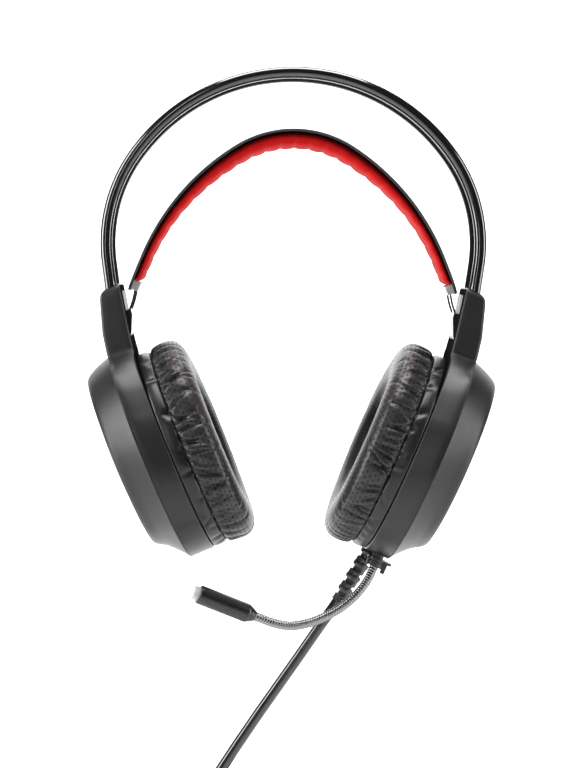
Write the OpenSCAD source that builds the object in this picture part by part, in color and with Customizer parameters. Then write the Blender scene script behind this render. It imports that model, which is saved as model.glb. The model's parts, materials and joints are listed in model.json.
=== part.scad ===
// Wired gaming headset: two round steel bows, a self-adjusting suspension strap,
// two ear cups tilted to the jaw, a flexible microphone boom and a USB cord.
// Millimetres, +Z up, +X towards the wearer's left ear, -Y towards the wearer's front.
// The origin is the crown of the suspension pad's underside, where the head carries it. Heights in
// this file are measured from a datum just over it, and lifted() moves every part to the origin.

/* [Bows] */
// Diameter of each bow tube
tube_d = 5.6; // [4.5:0.1:5.8]
// Distance between the front and the rear tube
tube_gap = 27; // [25:0.5:29]
// Radius of the bow over the crown, to the middle of the tube
bow_crown_r = 90.2; // [88:0.1:92]
// Radius of the bow at the temples, to the middle of the tube
bow_side_r = 70.4; // [69:0.1:72]
// Height of the tube's middle over the datum
bow_rise = 31.5; // [30:0.5:36]

/* [Suspension strap] */
// Width of the outer strap, front to rear
strap_w = 38; // [30:1:42]
// Thickness of the outer strap
strap_t = 1.6; // [1:0.1:2]
// Width of the padded liner
liner_w = 34; // [24:1:36]
// Thickness of the padded liner at the crown
liner_t = 7.3; // [6:0.1:8]
// Thickness of the padded liner at its ends
liner_end_t = 3.6; // [3.4:0.1:5]
// How far the strap rises when the headset is worn
strap_travel = 20; // [10:1:22]

/* [Ear cups] */
// Distance of each cup's centre from the middle plane
cup_x = 53.6; // [52:0.1:56]
// Height of each cup's centre over the datum
cup_z = -145.2; // [-146:0.1:-144]
// Tilt of the cups from vertical
cup_tilt = 23; // [22:0.5:24]
// Outer radius of the housing ring at its pad side
ring_r = 48.6; // [48:0.1:49.4]
// Depth of the housing ring
ring_depth = 11.8; // [11:0.1:12.4]
// Thickness of the housing walls
wall = 2.6; // [2:0.1:2.8]

/* [Ear cushions] */
// Outer radius of an ear cushion
cushion_r = 49.4; // [47:0.1:50]
// Radius of the opening for the ear
ear_r = 25; // [22:0.5:28]
// Thickness of an ear cushion
cushion_t = 17.2; // [14:0.1:20]

/* [Microphone] */
// Diameter of the flexible neck
neck_d = 3.8; // [3:0.1:4]
// Diameter of the microphone housing
mic_d = 8.8; // [7:0.1:9]
// Length of the microphone housing
mic_len = 28.5; // [24:0.5:30]

/* [Cord] */
// Diameter of the cord
cord_d = 5.4; // [5:0.1:5.4]

/* [Hidden] */
$fn = 96;

datum_z = 3.2;                               // heights are measured from a datum this far over the origin
tube_r = tube_d / 2;
tube_y = tube_gap / 2;

// Bow: a crown arc, a temple arc on each side, then a straight end into the arm
bow_join = 35;                               // where the two arcs meet, above the horizontal
bow_end = 8;                                 // lean of the straight end
bow_dr = bow_crown_r - bow_side_r;
crown_z = bow_rise - bow_crown_r;
side_x = bow_dr * cos(bow_join);
side_z = crown_z + bow_dr * sin(bow_join);
end_x = side_x + bow_side_r * cos(bow_end);
end_z = side_z - bow_side_r * sin(bow_end);
end_len = 33;                                // length of the straight end
bore_fit = 0.05;                             // clearance round a tube in its socket
wire_r = 0.9;                                // wire that crosses over inside the rear tube

// Strap: a crown arc, then a flatter arc down each side
strap_r1 = 51;
strap_top = strap_t + liner_t - datum_z;
strap_a1 = 32;
strap_r2 = 110;
strap_a2 = 68;                               // slope of the straight ends
strap_steps = 14;
strap_end = strap_a2 + 16.8;
liner_end = strap_a2 + 11.5;
clip_len = 4.2;
clip_t = 3.2;
clip_w = 12;

// Elastic cords from the strap's clips to the arms
elastic_y = 9;
elastic_r = 0.6;
cord_bore_r = 0.75;
elastic_from = [73.1, -66.6];
elastic_to = [76.4, -81.2];
exit_w = 12.5;

// Frames of the cup and of the arm: local X runs down, local Z runs outwards
arm_x = 79.2;
arm_z = -69.5;
arm_tilt = 11.6;
arm_w = 18.5;                                // half width of the arm at its top
shoulder_w = 27;                             // half width of the arm where it meets the ring
face_n = 0.4;                                // pad side of the housing ring
seam_n = face_n + ring_depth;                // where the outer shell starts
ring_flare = 1.2;                            // how much the ring widens towards the shell
baffle_n1 = 2.8;                             // back of the baffle
cover_w = 13;                                // half width of the arm's inner cover
cover_len = 21;
cover_t = 1.5;
arm_screw_places = [[3, -8], [3, 8]];

// Outer shell: depth, centre and radius of each ring of its skewed loft
shell_rings = [[seam_n, -2.1, 50.9], [15.5, -3.7, 48.4], [20.2, -5.1, 45.2],
               [24, -5.3, 43], [25.8, -5.2, 41.4]];
shell_wall = 2.2;
shell_cavity_n = 21.4;
plate_u = -5.4;
plate_r = 34.7;
plate_floor = 23.4;
plate_rise = 3.1;
plate_sphere = (plate_r * plate_r + plate_rise * plate_rise) / (2 * plate_rise);

// Cushion stack
cushion_back = -6.2;
collar_r = 38.5;
screw_r = 41.3;
screw_angles = [60, 120, 240, 300];
screw_shank_r = 1.3;
screw_head_r = 2.4;
boss_r = 3;
shell_boss_n = 16;                           // top of the screw posts inside the outer shell
skirt_in = 45;
led_n = 17.4;

// Microphone boom: pivots and hand-laid route of the neck
socket_u = 54;
socket_n = 8;
socket_y = -5;
neck_route = [[39.4, -5.3, -199.2], [36.4, -8, -204.9], [31.2, -12.5, -210.9], [24.1, -17.5, -216.2],
              [16.6, -22.5, -219.6], [9.4, -27, -221.8], [0.8, -32, -222.6], [-6.6, -35.6, -221],
              [-14.9, -38.6, -217.7]];
neck_split = 4;                              // index of the route point where the two halves meet
neck_gap = 2.4;                              // where the tip half starts, past the pivot
grommet_neck_r = 2.6;
lift_axis = [-0.434, 0.901, 0];              // pivot at the socket, square to the boom
mic_dir = [-0.906, -0.193, 0.377];
mic_base = neck_route[8] + mic_dir;

// Cord: hand-laid route from the strain relief to the coil, then from the coil to the plug
relief_top = [38.2, 6, -192.2];
relief_dir = [-0.52, 0, -0.854];
relief_len = 28;
relief_neck_r = 3;
cord_route = [[24.7, 6, -214.3], [19.3, 6, -222.3], [13.7, 6, -230.5], [8.4, 6, -238.4],
              [3, 6, -246.4], [-2.4, 6, -254.3], [-7.8, 6, -262.2], [-13.2, 6, -270.1],
              [-18.5, 5.9, -278.1], [-23.8, 5.7, -286.1], [-29, 5.5, -294.2], [-34.2, 5.5, -302.3],
              [-39.2, 5.5, -309.9], [-43.5, 5.5, -316.5]];
coil_x = -21;
coil_y = 13.6;
coil_z = -342;
coil_in = 19;
coil_out = 35.4;
coil_half = 10.9;
tie_angle = 120;
tail_route = [[-34.5, 21.7, -312.2], [-42, 21.7, -315.4], [-50, 21.7, -319.8], [-57.5, 21.7, -325.2],
              [-64.2, 21.7, -331.8], [-69.4, 21.7, -339.8], [-72.6, 21.7, -348.8], [-73.4, 21.7, -358]];
plug_x = -73.4;
plug_y = 21.7;
plug_z = -358;
plug_relief_len = 9;
plug_body_len = 23;

// ---- helpers ----

module cup_frame() translate([cup_x, 0, cup_z]) rotate([0, 90 + cup_tilt, 0]) children();
module arm_frame() translate([arm_x, 0, arm_z]) rotate([0, 90 + arm_tilt, 0]) children();
module right_side() mirror([1, 0, 0]) children();
module lifted() translate([0, 0, datum_z]) children();
module between(n0, n1, r) translate([0, 0, n0]) cylinder(h = n1 - n0, r = r);
module annulus(n0, n1, r_in, r_out)
    rotate_extrude() translate([r_in, n0]) square([r_out - r_in, n1 - n0]);
module along(p, d) translate(p) rotate([0, acos(d[2] / norm(d)), atan2(d[1], d[0])]) children();

// Swept tube: one ring of corners at each route point, on a frame carried along the route
function unit(v) = v / norm(v);
function heading(p, i) = unit(p[min(i + 1, len(p) - 1)] - p[max(i - 1, 0)]);
function ring_at(p, i, r, sides) =
    let (t = heading(p, i), a = unit(cross([0, 1, 0], t)), b = cross(t, a))
    [for (k = [0:sides - 1]) p[i] + r * (cos(360 * k / sides) * a + sin(360 * k / sides) * b)];
module swept_tube(p, r, sides = 12) {
    n = len(p);
    corners = [for (i = [0:n - 1]) each ring_at(p, i, r, sides)];
    walls = [for (i = [0:n - 2]) for (k = [0:sides - 1])
        let (a = i * sides + k, b = i * sides + (k + 1) % sides) [a + sides, b + sides, b, a]];
    polyhedron(corners, concat(walls, [[for (k = [0:sides - 1]) k]],
        [[for (k = [sides - 1:-1:0]) (n - 1) * sides + k]]));
}

// Skewed loft: round rings whose centre slides along X as they rise
module skewed_loft(rings, sides = 60) {
    n = len(rings);
    corners = [for (q = rings) for (k = [0:sides - 1])
        [q[1] + q[2] * cos(360 * k / sides), q[2] * sin(360 * k / sides), q[0]]];
    walls = [for (i = [0:n - 2]) for (k = [0:sides - 1])
        let (a = i * sides + k, b = i * sides + (k + 1) % sides) [a + sides, b + sides, b, a]];
    polyhedron(corners, concat(walls, [[for (k = [0:sides - 1]) k]],
        [[for (k = [sides - 1:-1:0]) (n - 1) * sides + k]]));
}

// ---- bows ----

function bow_side(deg) = [side_x + bow_side_r * cos(deg), side_z + bow_side_r * sin(deg)];
function bow_crown(deg) = [bow_crown_r * cos(deg), crown_z + bow_crown_r * sin(deg)];
function bow_foot(run) = [end_x - run * sin(bow_end), end_z - run * cos(bow_end)];
function bow_path(extra) = // left foot, up over the crown, down to the right foot
    let (half = concat([for (k = [0:3]) bow_foot(end_len * (1 - k / 4) + (k == 0 ? extra : 0))],
                       [for (k = [0:6]) bow_side(-bow_end + k * (bow_end + bow_join) / 6)],
                       [for (k = [1:7]) bow_crown(bow_join + k * (90 - bow_join) / 8)]))
    concat([for (q = half) [q[0], 0, q[1]]], [[0, 0, bow_rise]],
           [for (k = [len(half) - 1:-1:0]) [-half[k][0], 0, half[k][1]]]);
module bow_tube(y, r, sides, extra = 0) translate([0, y, 0]) swept_tube(bow_path(extra), r, sides);
module front_bow() color([0.03, 0.03, 0.035]) bow_tube(-tube_y, tube_r, 16);
module rear_bow() color([0.03, 0.03, 0.035]) difference() {
    bow_tube(tube_y, tube_r, 16);
    bow_tube(tube_y, tube_r - 0.9, 12, 1);
}
module cross_wire() color([0.1, 0.1, 0.1]) bow_tube(tube_y, wire_r, 8);

// ---- suspension strap ----

// A point of the strap: t is the slope in degrees along both arcs, then millimetres down the end
function strap_point(t, inset) =
    let (a = min(t, strap_a2), low = min(a, strap_a1), run = max(t - strap_a2, 0),
         x = strap_r1 * sin(low) + (a > strap_a1 ? strap_r2 * (sin(a) - sin(strap_a1)) : 0),
         drop = strap_r1 * (1 - cos(low)) + (a > strap_a1 ? strap_r2 * (cos(strap_a1) - cos(a)) : 0))
    [x + run * cos(a) - inset * sin(a), strap_top - drop - run * sin(a) - inset * cos(a)];
function strap_edge(inset, inset_end, t_end) =
    [for (k = [-strap_steps:strap_steps]) let (f = abs(k) / strap_steps,
        p = strap_point(f * strap_a2, inset + f * (inset_end - inset)), q = strap_point(t_end, inset_end))
        each (k == -strap_steps ? [[-q[0], q[1]], [-p[0], p[1]]] :
              k == strap_steps ? [p, q] : [[sign(k) * p[0], p[1]]])];
function reversed(v) = [for (k = [len(v) - 1:-1:0]) v[k]];
module strap_band(inset, depth, depth_end, width, t_end)
    rotate([90, 0, 0]) linear_extrude(width, center = true)
        polygon(concat(strap_edge(inset, inset, t_end),
                       reversed(strap_edge(inset + depth, inset + depth_end, t_end))));
module suspension_strap() color([0.06, 0.06, 0.065])
    strap_band(0, strap_t, strap_t, strap_w, strap_end);
module strap_liner() color([0.75, 0.05, 0.06])
    strap_band(strap_t, liner_t, liner_end_t, liner_w, liner_end);
module strap_clip() color([0.6, 0.62, 0.63]) difference() {
    translate([strap_point(liner_end, strap_t)[0], 0, strap_point(liner_end, strap_t)[1]])
        rotate([0, strap_a2, 0]) translate([0, -clip_w, -clip_t]) cube([clip_len, 2 * clip_w, clip_t]);
    elastic_pair(cord_bore_r);
}
module left_strap_clip() strap_clip();
module right_strap_clip() right_side() strap_clip();
module elastic_pair(r)
    for (y = [-elastic_y, elastic_y])
        along([elastic_from[0], y, elastic_from[1]],
              [elastic_to[0] - elastic_from[0], 0, elastic_to[1] - elastic_from[1]])
            cylinder(h = norm(elastic_to - elastic_from), r = r, $fn = 24);
module elastic_cords() color([0.02, 0.02, 0.02]) elastic_pair(elastic_r);
module left_elastic_cords() elastic_cords();
module right_elastic_cords() right_side() elastic_cords();

// ---- arms ----

module cord_exit() color([0.03, 0.03, 0.03]) difference() {
    arm_frame() rotate([90, 0, 0]) linear_extrude(2 * exit_w, center = true)
        polygon([[9.8, 0], [9.8, -2.2], [12.2, -2.4], [21, -0.3], [21, 0]]);
    elastic_pair(cord_bore_r);
}
module left_cord_exit() cord_exit();
module right_cord_exit() right_side() cord_exit();

module arm_blank() intersection() {
    rotate([90, 0, 0]) linear_extrude(2 * shoulder_w, center = true)
        polygon([[79.6, -67.6], [80.6, -66.9], [87.6, -69.4], [89.4, -71.6], [89.2, -75], [87.9, -90],
                 [85.4, -101.2], [80.3, -113.2], [69.6, -108.6], [73.2, -100.3], [73.2, -97.4],
                 [74.9, -90.6]]);
    translate([60, 0, 0]) rotate([90, 0, 90]) linear_extrude(40)
        polygon([[arm_w - 3, -66], [arm_w, -69], [arm_w + 0.5, -84], [arm_w + 1, -99], [24, -103],
                 [shoulder_w, -106.5], [shoulder_w, -114], [-shoulder_w, -114], [-shoulder_w, -106.5],
                 [-24, -103], [-arm_w - 1, -99], [-arm_w - 0.5, -84], [-arm_w, -69], [3 - arm_w, -66]]);
}
module ring_blank() difference() {
    union() {
        arm_blank();
        cup_frame() rotate_extrude()
            polygon([[ring_r - wall, face_n], [ring_r - 0.8, face_n], [ring_r, face_n + 0.8],
                     [ring_r + ring_flare, seam_n], [ring_r - wall, seam_n]]);
    }
    cup_frame() between(face_n - 1, seam_n + 6, ring_r - wall);
}
module cover_plate(grow) // recess and plate share this outline
    arm_frame() translate([0.8 - grow, -cover_w - grow, 0])
        cube([cover_len + 2 * grow, 2 * (cover_w + grow), cover_t]);
module screw_boss(n0, n1, rib) { // a post and the rib that ties it to the wall
    translate([screw_r, 0, 0]) between(n0, n1, boss_r);
    translate([screw_r, -1.2, n0]) cube([rib, 2.4, n1 - n0]);
}
module arm_housing() difference() {
    union() {
        ring_blank();
        cup_frame() for (a = screw_angles) rotate([0, 0, a]) screw_boss(baffle_n1, seam_n, 5.2);
    }
    for (y = [-tube_y, tube_y]) translate([end_x, y, end_z]) rotate([0, 180 + bow_end, 0])
        cylinder(h = end_len + 0.1, r = tube_r + bore_fit);
    cup_frame() for (a = screw_angles) rotate([0, 0, a]) translate([screw_r, 0, 0])
        between(baffle_n1 - 1, seam_n + 1, screw_shank_r + 0.3);
    cover_plate(0.15);
    arm_frame() for (q = arm_screw_places) translate([q[0], q[1], 0]) between(0, 6, screw_shank_r - 0.25);
}
module left_arm_housing() color([0.13, 0.13, 0.135]) difference() {
    arm_housing();
    cup_frame() translate([0, socket_y, socket_n]) rotate([0, 90, 0])
        translate([0, 0, 40]) cylinder(h = 20, r = grommet_neck_r + 0.2);
    along(relief_top, -relief_dir) translate([0, 0, -4]) cylinder(h = 12, r = relief_neck_r + 0.2);
}
module right_arm_housing() color([0.13, 0.13, 0.135]) right_side() arm_housing();
module arm_cover() color([0.1, 0.1, 0.1]) difference() {
    cover_plate(0);
    arm_frame() for (q = arm_screw_places) translate([q[0], q[1], 0])
        between(-1, cover_t + 1, screw_shank_r + 0.1);
    arm_frame() for (q = arm_screw_places) translate([q[0], q[1], 0]) between(-1, 0.7, screw_head_r + 0.15);
    elastic_pair(cord_bore_r);
}
module left_arm_cover() arm_cover();
module right_arm_cover() right_side() arm_cover();
module screw(length) { // head's outer face at 0, shank along +Z
    difference() {
        between(0, 0.6, screw_head_r);
        for (a = [0, 90]) rotate([0, 0, a]) translate([-1.1, -0.2, -0.1]) cube([2.2, 0.4, 0.4]);
    }
    between(0.6, length, screw_shank_r - 0.25);
}
module arm_screws() color([0.1, 0.1, 0.1]) {
    arm_frame() for (q = arm_screw_places) translate([q[0], q[1], 0.05]) screw(5.6);
    right_side() arm_frame() for (q = arm_screw_places) translate([q[0], q[1], 0.05]) screw(5.6);
}
module cup_screws() cup_frame() for (a = screw_angles) rotate([0, 0, a])
    translate([screw_r, 0, face_n - 0.6]) screw(seam_n + 3 - face_n);
module housing_screws() color([0.1, 0.1, 0.1]) {
    cup_screws();
    right_side() cup_screws();
}

// ---- cups, from the outside inwards ----

module outer_shell() color([0.16, 0.16, 0.165]) cup_frame() difference() {
    union() {
        difference() {
            skewed_loft(shell_rings);
            skewed_loft([[seam_n - 0.01, shell_rings[0][1], shell_rings[0][2] - shell_wall],
                         [shell_rings[1][0], shell_rings[1][1], shell_rings[1][2] - shell_wall],
                         [shell_rings[2][0], shell_rings[2][1], shell_rings[2][2] - shell_wall],
                         [shell_cavity_n, plate_u, shell_rings[3][2] - shell_wall]]);
        }
        for (a = screw_angles) rotate([0, 0, a]) screw_boss(seam_n, shell_boss_n, abs(a - 180) < 90 ? 8 : 5);
    }
    translate([plate_u, 0, 0]) between(plate_floor, 30, plate_r + 2.9);
    for (a = screw_angles) rotate([0, 0, a]) translate([screw_r, 0, 0])
        between(seam_n - 1, shell_boss_n - 0.4, screw_shank_r - 0.2);
}
module left_outer_shell() outer_shell();
module right_outer_shell() right_side() outer_shell();
module dome_plate() color([0.12, 0.12, 0.125]) cup_frame() translate([plate_u, 0, 0]) intersection() {
    between(plate_floor, 30, plate_r);
    translate([0, 0, 26 + plate_rise - plate_sphere]) sphere(r = plate_sphere, $fn = 180);
}
module left_dome_plate() dome_plate();
module right_dome_plate() right_side() dome_plate();
module light_ring() color([0.3, 0.3, 0.32]) cup_frame() translate([plate_u, 0, 0])
    annulus(plate_floor, plate_floor + 1.6, plate_r + 0.4, plate_r + 2.6);
module left_light_ring() light_ring();
module right_light_ring() right_side() light_ring();
module led_board() color([0.05, 0.25, 0.12]) cup_frame() translate([plate_u, 0, 0]) {
    difference() {
        between(led_n, led_n + 1.2, 34);
        between(led_n - 1, led_n + 3, 20);
    }
    for (a = [0:120:359]) rotate([0, 0, a]) translate([27, 0, 0]) between(led_n + 1, shell_cavity_n, 2);
    for (a = [30:60:359]) rotate([0, 0, a]) translate([30.5, -1.75, led_n - 1.6]) cube([2.6, 3.5, 1.8]);
}
module left_led_board() led_board();
module right_led_board() right_side() led_board();

module baffle() color([0.08, 0.08, 0.08]) cup_frame() difference() {
    union() {
        between(face_n + 0.2, baffle_n1, ring_r - wall - 0.4);
        annulus(cushion_back + 0.4, face_n + 0.3, 33, collar_r);
    }
    between(face_n - 1, baffle_n1 + 1, 18);
    for (a = screw_angles) rotate([0, 0, a]) translate([screw_r, 0, 0])
        between(face_n - 1, baffle_n1 + 1, screw_shank_r + 0.3);
}
module left_baffle() baffle();
module right_baffle() right_side() baffle();
module driver_frame() color([0.2, 0.2, 0.2]) cup_frame() {
    annulus(baffle_n1, 4.4, 17.5, 20.8);
    annulus(4.4, 7.6, 13, 18.6);
}
module left_driver_frame() driver_frame();
module right_driver_frame() right_side() driver_frame();
module driver_magnet() color([0.35, 0.35, 0.36]) cup_frame() {
    between(7.6, 9, 14.4);
    between(9, 12.6, 11);
}
module left_driver_magnet() driver_magnet();
module right_driver_magnet() right_side() driver_magnet();
module diaphragm() color([0.6, 0.6, 0.6, 0.8]) cup_frame() difference() {
    intersection() {
        between(1, 3.8, 17.3);
        translate([0, 0, 56.6]) sphere(r = 55.4, $fn = 96);
    }
    translate([0, 0, 56.8]) sphere(r = 55.4, $fn = 96);
}
module left_diaphragm() diaphragm();
module right_diaphragm() right_side() diaphragm();
module ear_cloth() color([0.04, 0.04, 0.04]) cup_frame()
    between(cushion_back, cushion_back + 0.4, collar_r - 0.5);
module left_ear_cloth() ear_cloth();
module right_ear_cloth() right_side() ear_cloth();
module cushion_skirt() color([0.05, 0.05, 0.05]) cup_frame() rotate_extrude()
    polygon([[skirt_in, face_n - 0.4], [ring_r - 1.2, face_n - 0.4], [ring_r - 0.2, face_n - 1.6],
             [ring_r - 0.2, cushion_back + 1.4], [ring_r - 1.2, cushion_back],
             [skirt_in, cushion_back]]);
module left_cushion_skirt() cushion_skirt();
module right_cushion_skirt() right_side() cushion_skirt();
module ear_cushion() color([0.04, 0.04, 0.04]) cup_frame() rotate_extrude() {
    n0 = cushion_back - cushion_t;
    translate([ear_r + 6, n0]) square([cushion_r - ear_r - 15, cushion_t]);
    translate([ear_r, n0 + 6]) square([cushion_r - ear_r, cushion_t - 9]);
    translate([ear_r, cushion_back - 4]) square([cushion_r - ear_r - 1.4, 4]);
    translate([ear_r + 6, n0 + 6]) circle(r = 6);
    translate([cushion_r - 8.5, n0 + 8.5]) circle(r = 8.5);
}
module left_ear_cushion() ear_cushion();
module right_ear_cushion() right_side() ear_cushion();
module audio_board() color([0.05, 0.25, 0.12]) cup_frame() {
    translate([22, -12, 7]) cube([16, 24, 1.6]);
    for (y = [-9, 9]) translate([30, y, 0]) between(baffle_n1, 7, 1.8);
    translate([25, -6, 8.6]) cube([7, 7, 1.5]);
    translate([34, 3, 8.6]) cube([3, 6, 2.4]);
}

// ---- microphone boom ----

module mic_grommet() color([0.02, 0.02, 0.02]) cup_frame() translate([0, socket_y, socket_n])
    rotate([0, 90, 0]) difference() {
        union() {
            translate([0, 0, 46.6]) cylinder(h = 4, r = grommet_neck_r);
            translate([0, 0, 49.9]) cylinder(h = 1.2, r = 4.9);
            translate([0, 0, 51.1]) cylinder(h = 0.6, r = 3.6);
            translate([0, 0, 51.7]) cylinder(h = socket_u - 51.7, r = 4.3);
            translate([-6.9, -4, 49.9]) cube([4, 8, 1.2]);
            translate([-5.4, -3, 50.5]) cube([2, 6, 5.3]);
        }
        translate([0, 0, socket_u - 2]) cylinder(h = 3, r = 2.5);
    }
module neck_pin(p, axis) along(p, axis) cylinder(h = 3, r = 1.7, center = true, $fn = 32);
module neck_root() color([0.7, 0.7, 0.72]) {
    swept_tube([for (i = [0:neck_split]) neck_route[i]], neck_d / 2);
    neck_pin(neck_route[0], lift_axis);
    neck_pin(neck_route[neck_split], [0, 0, 1]);
}
module neck_tip() color([0.7, 0.7, 0.72]) {
    start = neck_route[neck_split] + neck_gap * unit(neck_route[neck_split + 1] - neck_route[neck_split]);
    swept_tube(concat([start], [for (i = [neck_split + 1:8]) neck_route[i]], [mic_base]), neck_d / 2);
}
module mic_collar() color([0.03, 0.03, 0.03]) along(mic_base, mic_dir)
    cylinder(h = 2.6, r1 = 2.4, r2 = 3.7);
module mic_housing() color([0.03, 0.03, 0.03]) along(mic_base, mic_dir) difference() {
    union() {
        translate([0, 0, 2.6]) cylinder(h = 1.4, r1 = 3.7, r2 = mic_d / 2);
        translate([0, 0, 4]) cylinder(h = mic_len - 4, r = mic_d / 2);
    }
    translate([0, 0, mic_len - 14]) cylinder(h = 20, r = mic_d / 2 - 1);
}
module mic_capsule() color([0.5, 0.5, 0.5]) along(mic_base, mic_dir)
    translate([0, 0, mic_len - 14]) cylinder(h = 6, r = 2.9);
module mic_lens() color([0.85, 0.86, 0.86]) along(mic_base, mic_dir)
    translate([0, 0, mic_len - 7]) cylinder(h = 9.8, r = mic_d / 2 - 1.1);

// ---- cord ----

module strain_relief() color([0.03, 0.03, 0.03]) along(relief_top, relief_dir) difference() {
    union() {
        translate([0, 0, -3.4]) cylinder(h = 4, r = relief_neck_r);
        for (k = [0:3]) translate([0, 0, 0.5 + k * relief_len / 4]) {
            cylinder(h = 1.8, r = 3.9 - 0.1 * k);
            cylinder(h = relief_len / 4, r = 3.5 - 0.08 * k);
        }
    }
    translate([0, 0, relief_len + 0.5 - 3]) cylinder(h = 5, r = cord_d / 2 + 0.05);
}
module cord() color([0.03, 0.03, 0.03]) swept_tube(cord_route, cord_d / 2);
module cord_coil() color([0.03, 0.03, 0.03]) translate([coil_x, coil_y, coil_z]) rotate([90, 0, 0])
    rotate_extrude() polygon([[coil_in, -coil_half + 3], [coil_in + 3, -coil_half],
        [coil_out - 3, -coil_half], [coil_out, -coil_half + 3], [coil_out, coil_half - 3],
        [coil_out - 3, coil_half], [coil_in + 3, coil_half], [coil_in, coil_half - 3]]);
module cord_tie() color([0.02, 0.02, 0.02]) translate([coil_x, coil_y, coil_z]) rotate([0, tie_angle, 0])
    translate([0, 0, (coil_in + coil_out) / 2]) difference() {
        cube([7, 2 * coil_half + 3.2, coil_out - coil_in + 3.2], center = true);
        cube([8, 2 * coil_half + 1.2, coil_out - coil_in + 1.2], center = true);
    }
module cord_tail() color([0.03, 0.03, 0.03]) swept_tube(tail_route, cord_d / 2);
module plug_relief() color([0.03, 0.03, 0.03]) translate([plug_x, plug_y, plug_z - plug_relief_len])
    cylinder(h = plug_relief_len, r1 = 3.9, r2 = 3);
module plug_body() color([0.03, 0.03, 0.03])
    translate([plug_x - 7.8, plug_y - 4.2, plug_z - plug_relief_len - plug_body_len])
        cube([15.6, 8.4, plug_body_len]);
module plug_shell() color([0.7, 0.7, 0.72])
    translate([plug_x, plug_y, plug_z - plug_relief_len - plug_body_len - 12]) difference() {
        translate([-6, -2.25, 0]) cube([12, 4.5, 12]);
        translate([-5.7, -1.95, -1]) cube([11.4, 3.9, 12.4]);
    }
module plug_tongue() color([0.9, 0.9, 0.9])
    translate([plug_x - 5.6, plug_y + 0.1, plug_z - plug_relief_len - plug_body_len - 11])
        cube([11.2, 1.8, 10.4]);

lifted() front_bow();
lifted() rear_bow();
lifted() cross_wire();
lifted() suspension_strap();
lifted() strap_liner();
lifted() left_strap_clip();
lifted() right_strap_clip();
lifted() left_elastic_cords();
lifted() right_elastic_cords();
lifted() left_cord_exit();
lifted() right_cord_exit();
lifted() left_arm_housing();
lifted() right_arm_housing();
lifted() left_arm_cover();
lifted() right_arm_cover();
lifted() arm_screws();
lifted() left_outer_shell();
lifted() right_outer_shell();
lifted() left_dome_plate();
lifted() right_dome_plate();
lifted() left_light_ring();
lifted() right_light_ring();
lifted() left_led_board();
lifted() right_led_board();
lifted() left_baffle();
lifted() right_baffle();
lifted() housing_screws();
lifted() left_driver_frame();
lifted() right_driver_frame();
lifted() left_driver_magnet();
lifted() right_driver_magnet();
lifted() left_diaphragm();
lifted() right_diaphragm();
lifted() left_ear_cloth();
lifted() right_ear_cloth();
lifted() left_cushion_skirt();
lifted() right_cushion_skirt();
lifted() left_ear_cushion();
lifted() right_ear_cushion();
lifted() audio_board();
lifted() mic_grommet();
lifted() neck_root();
lifted() neck_tip();
lifted() mic_collar();
lifted() mic_housing();
lifted() mic_capsule();
lifted() mic_lens();
lifted() strain_relief();
lifted() cord();
lifted() cord_coil();
lifted() cord_tie();
lifted() cord_tail();
lifted() plug_relief();
lifted() plug_body();
lifted() plug_shell();
lifted() plug_tongue();
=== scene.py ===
# %% [markdown]
# # Wired gaming headset, dressed over its CAD frame
# Every shape below is computed with numpy from a formula, in millimetres, and turned into metres
# once, where the mesh is made. X points to the wearer's left ear, -Y to the wearer's front, Z up.
# Heights are counted from a datum 3.2 mm over the origin, as in the CAD source.

import json
import math

import bpy
import numpy as np
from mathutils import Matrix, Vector


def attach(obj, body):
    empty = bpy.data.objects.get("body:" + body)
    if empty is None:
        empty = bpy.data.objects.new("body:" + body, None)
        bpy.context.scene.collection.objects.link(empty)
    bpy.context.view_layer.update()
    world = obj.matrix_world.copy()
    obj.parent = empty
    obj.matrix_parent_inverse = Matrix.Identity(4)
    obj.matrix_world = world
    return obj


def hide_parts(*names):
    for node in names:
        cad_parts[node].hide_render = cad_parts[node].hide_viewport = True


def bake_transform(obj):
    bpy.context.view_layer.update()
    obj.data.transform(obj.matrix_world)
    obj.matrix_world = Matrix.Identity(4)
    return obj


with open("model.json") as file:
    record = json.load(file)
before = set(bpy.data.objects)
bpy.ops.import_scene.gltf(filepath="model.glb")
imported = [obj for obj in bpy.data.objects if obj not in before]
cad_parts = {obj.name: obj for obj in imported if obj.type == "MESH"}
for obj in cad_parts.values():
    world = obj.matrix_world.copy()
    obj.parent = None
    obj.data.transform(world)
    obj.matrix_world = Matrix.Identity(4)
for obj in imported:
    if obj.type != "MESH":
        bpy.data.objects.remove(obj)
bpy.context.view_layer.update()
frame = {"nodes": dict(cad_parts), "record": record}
NODES = frame["nodes"]
print("nodes loaded:", len(NODES))

# %% [markdown]
# ## Camera
# A short lens close by would splay the cups and look into both of them. A long lens a little over
# a metre away keeps them edge-on. It stands slightly higher than what it looks at, so that the
# bow's rear tube just shows inside the front one.

# %% Camera
TARGET = Vector((-0.0016, 0.0, -0.1100))
camera_data = bpy.data.cameras.new("camera")
camera_data.sensor_width = 36.0
camera_data.lens = 109.7
camera_data.clip_start, camera_data.clip_end = 0.05, 20.0
camera = bpy.data.objects.new("camera", camera_data)
bpy.context.scene.collection.objects.link(camera)
bpy.context.scene.camera = camera
azimuth, elevation = math.radians(-0.7), math.radians(3.0)
back = Vector((math.sin(azimuth) * math.cos(elevation), -math.cos(azimuth) * math.cos(elevation),
               math.sin(elevation)))
camera.location = TARGET + 1.1 * back
camera.rotation_euler = (-back).to_track_quat("-Z", "Y").to_euler()
camera.rotation_euler.rotate_axis("Z", math.radians(0.7))
print("camera", [round(v, 3) for v in camera.location])

# %% [markdown]
# ## Tools for computed surfaces
# Moulded parts like these could be modelled by hand with loop cuts and a subdivision modifier. Here
# each piece is a stack of closed rings of points instead, because a ring can follow a formula
# exactly. Neighbouring rings are skinned with quads. The two ends are closed with a fan to one
# middle point, or the last ring joins the first.

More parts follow.
